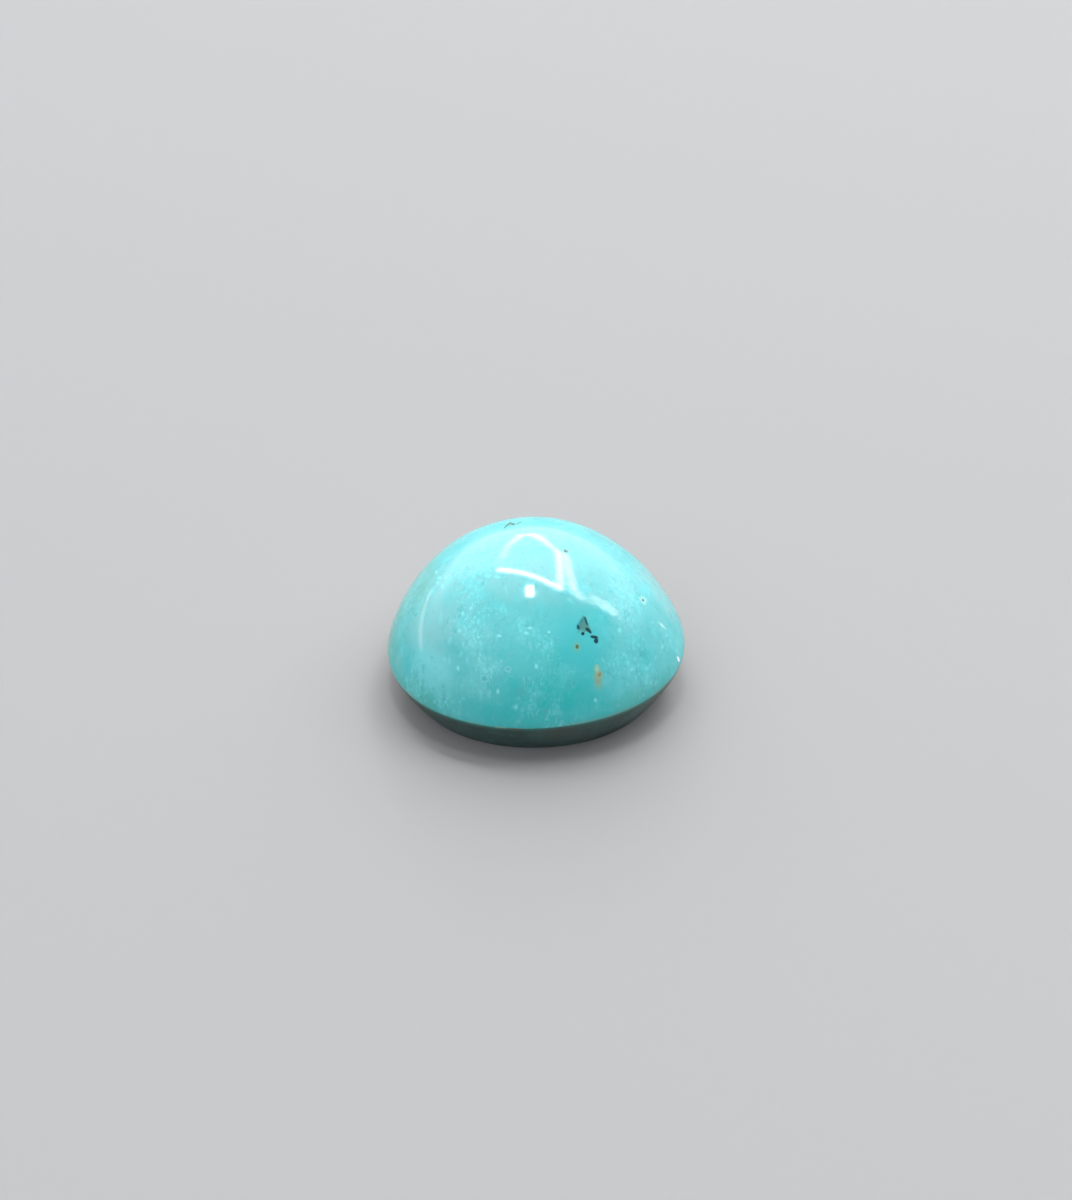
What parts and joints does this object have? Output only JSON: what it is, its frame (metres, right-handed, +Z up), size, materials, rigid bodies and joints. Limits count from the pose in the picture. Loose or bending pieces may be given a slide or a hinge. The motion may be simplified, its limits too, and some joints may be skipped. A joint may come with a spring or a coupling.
{
  "type": "polished turquoise cabochon",
  "caption": "Loose hand-cut turquoise stone with a high polished dome, a crisp oval girdle and a short back ground flat to rest on.",
  "frame": {"origin": "on the flat resting face, under the middle of the stone's bounding box", "axes": "+Z up from the resting face through the dome's crown, +X along the longer side of the oval girdle"},
  "size_m": [0.014, 0.013, 0.0077],
  "materials": {
    "turquoise": "high polish with milky clouding, pale flecks and a few small brown and dark specks of matrix"
  },
  "bodies": {
    "root": {"turquoise_cabochon": "turquoise"}
  },
  "joints": []
}
